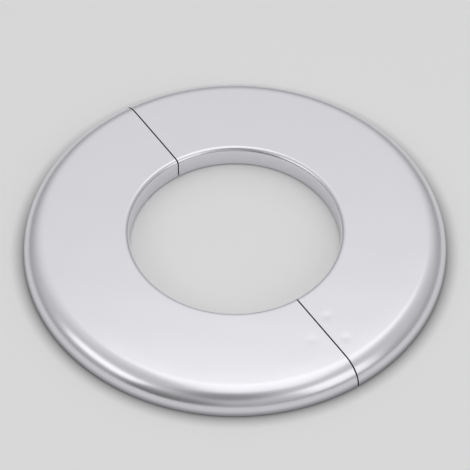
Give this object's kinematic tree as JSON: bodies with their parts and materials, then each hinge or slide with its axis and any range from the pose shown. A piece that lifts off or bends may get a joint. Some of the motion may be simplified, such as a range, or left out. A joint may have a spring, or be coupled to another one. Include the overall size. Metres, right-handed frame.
{
  "type": "split pipe collar",
  "caption": "Split round collar of pressed sheet steel that covers the hole round a heating pipe; its equal halves snap together with forked clips and headed studs under the top.",
  "frame": {"origin": "on the pipe's axis, in the plane of the wall or floor that the rim rests on", "axes": "+Z away from the wall along the pipe; the seam runs along Y; the left half is at -X and the right half at +X"},
  "size_m": [0.1, 0.1, 0.0055],
  "materials": {
    "satin_shell": "satin silver plating over pressed steel sheet, fine even grain",
    "clip_steel": "bare stamped and turned steel, mid grey"
  },
  "bodies": {
    "left_half": {"left_half_shell": "satin_shell", "left_fork_clip": "clip_steel", "left_stud": "clip_steel"},
    "right_half": {"right_half_shell": "satin_shell", "right_fork_clip": "clip_steel", "right_stud": "clip_steel"}
  },
  "joints": [
    {"name": "halves_pull_apart", "type": "slide", "parent": "left_half", "child": "right_half", "axis": [1, 0, 0], "range_m": [0, 0.058]}
  ]
}
